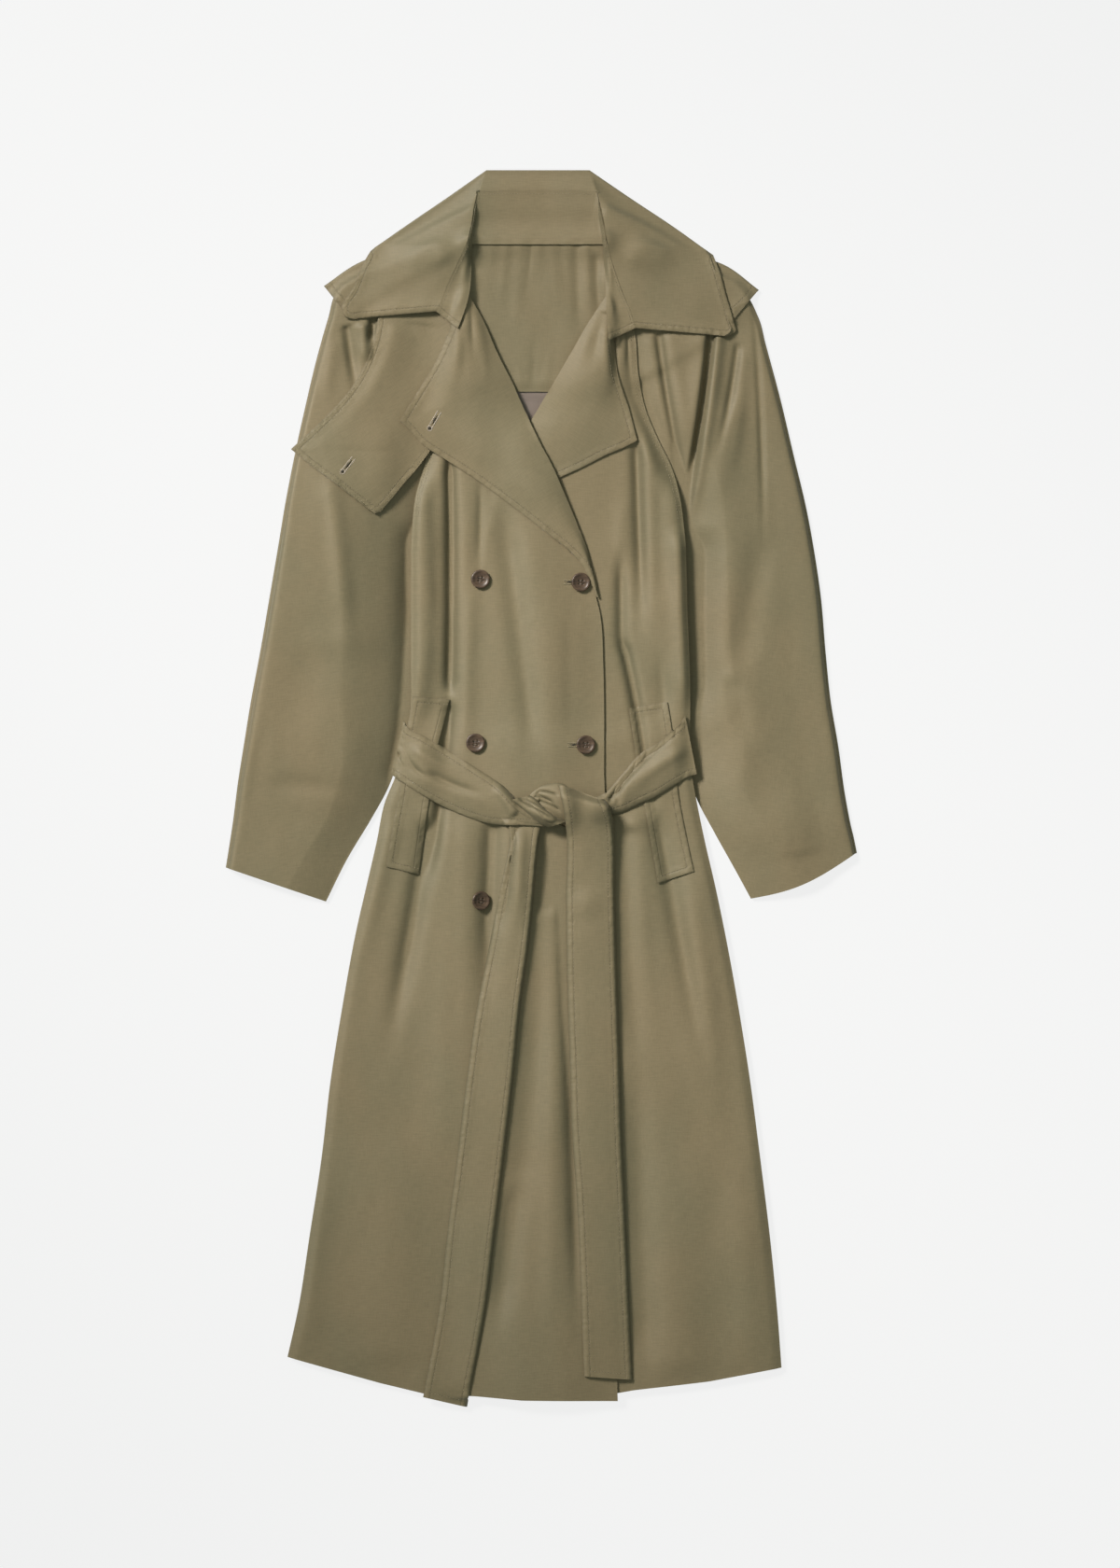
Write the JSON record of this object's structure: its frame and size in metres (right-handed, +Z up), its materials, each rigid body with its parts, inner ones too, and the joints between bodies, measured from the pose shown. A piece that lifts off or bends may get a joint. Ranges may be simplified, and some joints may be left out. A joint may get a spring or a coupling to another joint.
{
  "type": "trench coat",
  "caption": "Long double-breasted trench coat laid flat on its back, with a wide collar, lapels, gun flap, rear storm flap, welt pockets and a tied belt.",
  "frame": {"origin": "on the surface the coat lies on, below the middle of its bounding box", "axes": "+X towards the wearer's left sleeve, +Y from the hem to the collar, +Z up out of the front of the coat"},
  "size_m": [0.649, 1.2711, 0.034],
  "materials": {
    "gabardine": "olive cotton gabardine with a slight sheen",
    "lining_satin": "mauve satin",
    "button_horn": "dark brown horn, half polished"
  },
  "bodies": {
    "root": {"back_lining": "lining_satin", "back_neck_yoke": "gabardine", "back_panel": "gabardine", "belt_back": "gabardine", "belt_knot_loop": "gabardine", "belt_knot_wrap": "gabardine", "belt_left": "gabardine", "belt_right": "gabardine", "belt_tail_left": "gabardine", "belt_tail_right": "gabardine", "button_1": "button_horn", "button_2": "button_horn", "button_3": "button_horn", "button_4": "button_horn", "button_5": "button_horn", "button_6": "button_horn", "collar_fall": "gabardine", "collar_stand": "gabardine", "front_left": "gabardine", "front_right": "gabardine", "gun_flap": "gabardine", "lapel_left": "gabardine", "lapel_right": "gabardine", "pocket_welt_left": "gabardine", "pocket_welt_right": "gabardine", "sleeve_left": "gabardine", "sleeve_right": "gabardine", "storm_flap": "gabardine"}
  },
  "joints": []
}
